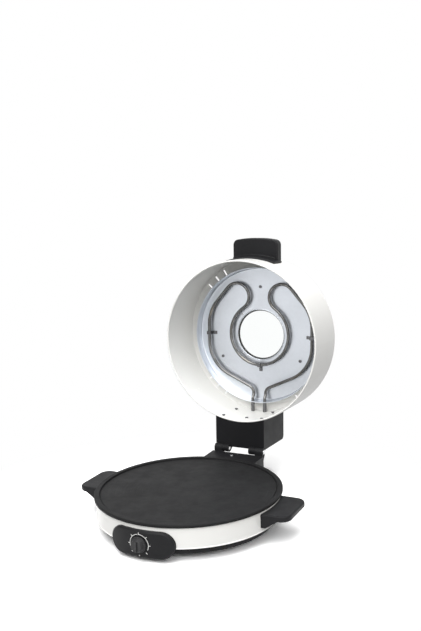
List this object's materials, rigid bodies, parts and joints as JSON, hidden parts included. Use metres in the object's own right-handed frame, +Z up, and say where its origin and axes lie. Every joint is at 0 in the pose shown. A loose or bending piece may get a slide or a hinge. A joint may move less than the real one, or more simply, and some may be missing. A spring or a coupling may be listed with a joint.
{
  "type": "electric pizza maker",
  "caption": "Countertop cooker with a round heated plate in a low base, a deep drum lid on a rear hinge with its own heating tube and a window, side grips and a front dial.",
  "frame": {"origin": "centre of the open object's outline on the surface that the feet stand on", "axes": "+Z up, -Y the front with the control panel, +X to the right of a person facing the front"},
  "size_m": [0.4966, 0.6376, 0.5706],
  "materials": {
    "plate_coating": "cast aluminium under a satin dark grey non-stick coating",
    "white_enamel": "gloss white enamel on steel",
    "black_paint": "black paint on steel",
    "foot_rubber": "black moulded rubber",
    "plain_steel": "zinc plated steel",
    "shield_steel": "aluminised steel sheet",
    "element_steel": "heat-darkened stainless tube",
    "black_plastic": "black moulded plastic, satin gloss",
    "handle_plastic": "black heat-proof plastic, fine grain",
    "knob_plastic": "black plastic, satin",
    "ceramic": "white ceramic",
    "pin_steel": "bright steel",
    "gasket_silicone": "heat-proof silicone",
    "window_glass": "clear toughened glass",
    "reflector_aluminium": "bright satin aluminium"
  },
  "bodies": {
    "base": {"hot_plate": "plate_coating", "base_band": "white_enamel", "bottom_pan": "black_paint", "feet": "foot_rubber", "plate_studs": "plain_steel", "shield_spacers": "plain_steel", "heat_shield": "shield_steel", "shield_nuts": "plain_steel", "pan_nuts": "plain_steel", "lower_element": "element_steel", "element_clamps": "plain_steel", "clamp_screws": "plain_steel", "control_panel": "black_plastic", "panel_screws": "plain_steel", "thermostat": "ceramic", "thermostat_screws": "plain_steel", "sensor_plunger": "plain_steel", "right_handle": "handle_plastic", "left_handle": "handle_plastic", "handle_screws": "plain_steel", "hinge_bracket": "handle_plastic", "bracket_stay": "shield_steel", "bracket_screws": "plain_steel", "bracket_top_screw": "plain_steel", "hinge_pins": "pin_steel", "cord_gland": "foot_rubber", "terminal_block": "ceramic", "terminal_block_screw": "plain_steel"},
    "knob": {"control_knob": "knob_plastic", "knob_shaft": "plain_steel"},
    "lid": {"lid_shell": "white_enamel", "window_gasket": "gasket_silicone", "window_glass": "window_glass", "window_ring": "white_enamel", "window_ring_screws": "plain_steel", "lid_reflector": "reflector_aluminium", "lid_element": "element_steel", "terminal_sleeves": "plain_steel", "terminal_insulators": "ceramic", "terminal_tabs": "plain_steel", "element_clips": "plain_steel", "lid_screws": "plain_steel", "lid_nuts": "plain_steel", "lid_handle": "handle_plastic", "lid_handle_screws": "plain_steel", "lid_hinge_block": "handle_plastic", "block_screws": "plain_steel"}
  },
  "joints": [
    {"name": "lid_hinge", "type": "hinge", "parent": "base", "child": "lid", "pos_m": [0, 0.16137, 0.0799], "axis": [1, 0, 0], "range_deg": [0, 93.3]},
    {"name": "knob_turn", "type": "hinge", "parent": "base", "child": "knob", "pos_m": [0, -0.30473, 0.03645], "axis": [0, 1, 0], "range_deg": [0, 315]}
  ]
}
